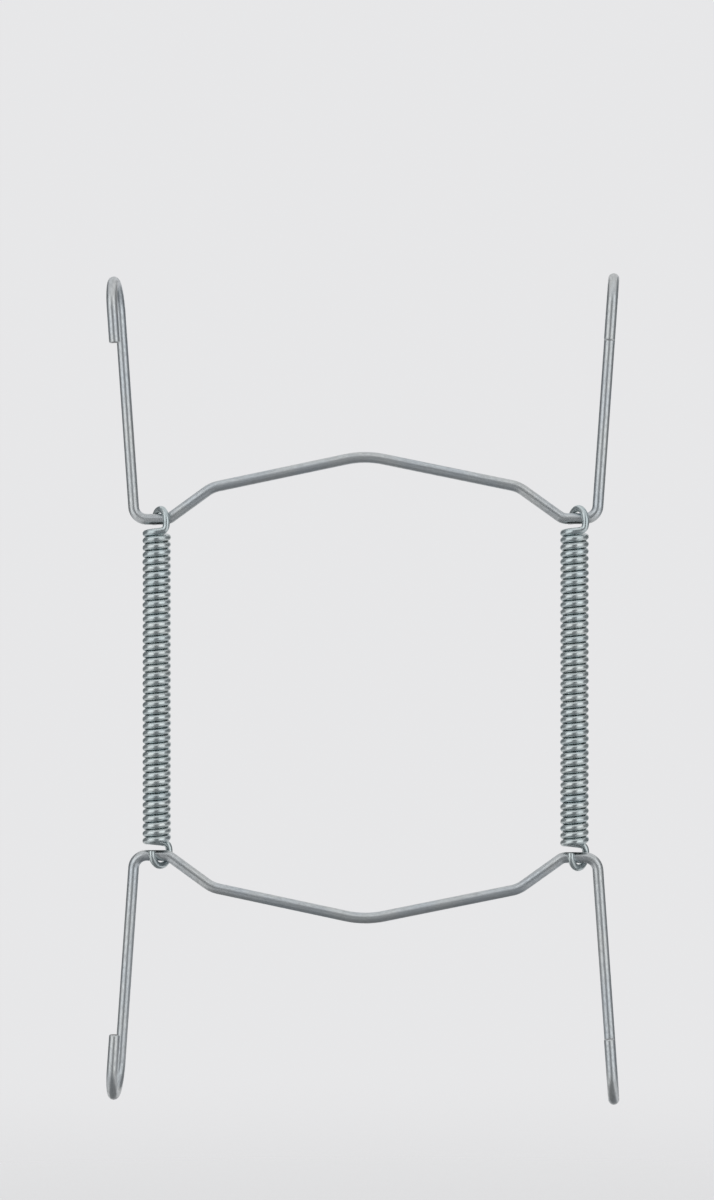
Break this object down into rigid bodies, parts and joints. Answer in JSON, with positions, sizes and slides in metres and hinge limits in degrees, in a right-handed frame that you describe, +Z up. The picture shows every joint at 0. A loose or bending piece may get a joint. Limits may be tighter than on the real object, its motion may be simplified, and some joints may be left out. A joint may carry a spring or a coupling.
{
  "type": "wire plate hanger",
  "caption": "Wire plate hanger: bent wire frames with hooks that grip a plate's rim, drawn together by coil springs and hung on a nail under the upper frame's ridge.",
  "frame": {"origin": "point under the ridge of the upper frame where the nail carries the hanger", "axes": "+X to the right, +Y back to the wall, +Z up; the hooks point forward along -Y"},
  "size_m": [0.0654, 0.01, 0.1058],
  "materials": {
    "frame_wire": "bright zinc plated drawn wire",
    "spring_wire": "bright zinc plated spring wire"
  },
  "bodies": {
    "upper_frame": {"upper_frame": "frame_wire"},
    "left_spring": {"left_spring": "spring_wire"},
    "right_spring": {"right_spring": "spring_wire"},
    "lower_frame": {"lower_frame": "frame_wire"}
  },
  "joints": [
    {"name": "upper_pivot", "type": "hinge", "parent": "upper_frame", "child": "left_spring", "pos_m": [0, 0, -0.00725], "axis": [1, 0, 0], "range_deg": [-90, 90]},
    {"name": "stretch", "type": "slide", "parent": "left_spring", "child": "right_spring", "axis": [0, 0, -1], "range_m": [0, 0.065], "stiffness_N_per_m": 500, "springref_m": -0.002, "deforming": ["left_spring", "right_spring"]},
    {"name": "lower_pivot", "type": "hinge", "parent": "right_spring", "child": "lower_frame", "pos_m": [0, 0, -0.05078], "axis": [1, 0, 0], "range_deg": [-90, 90]}
  ]
}
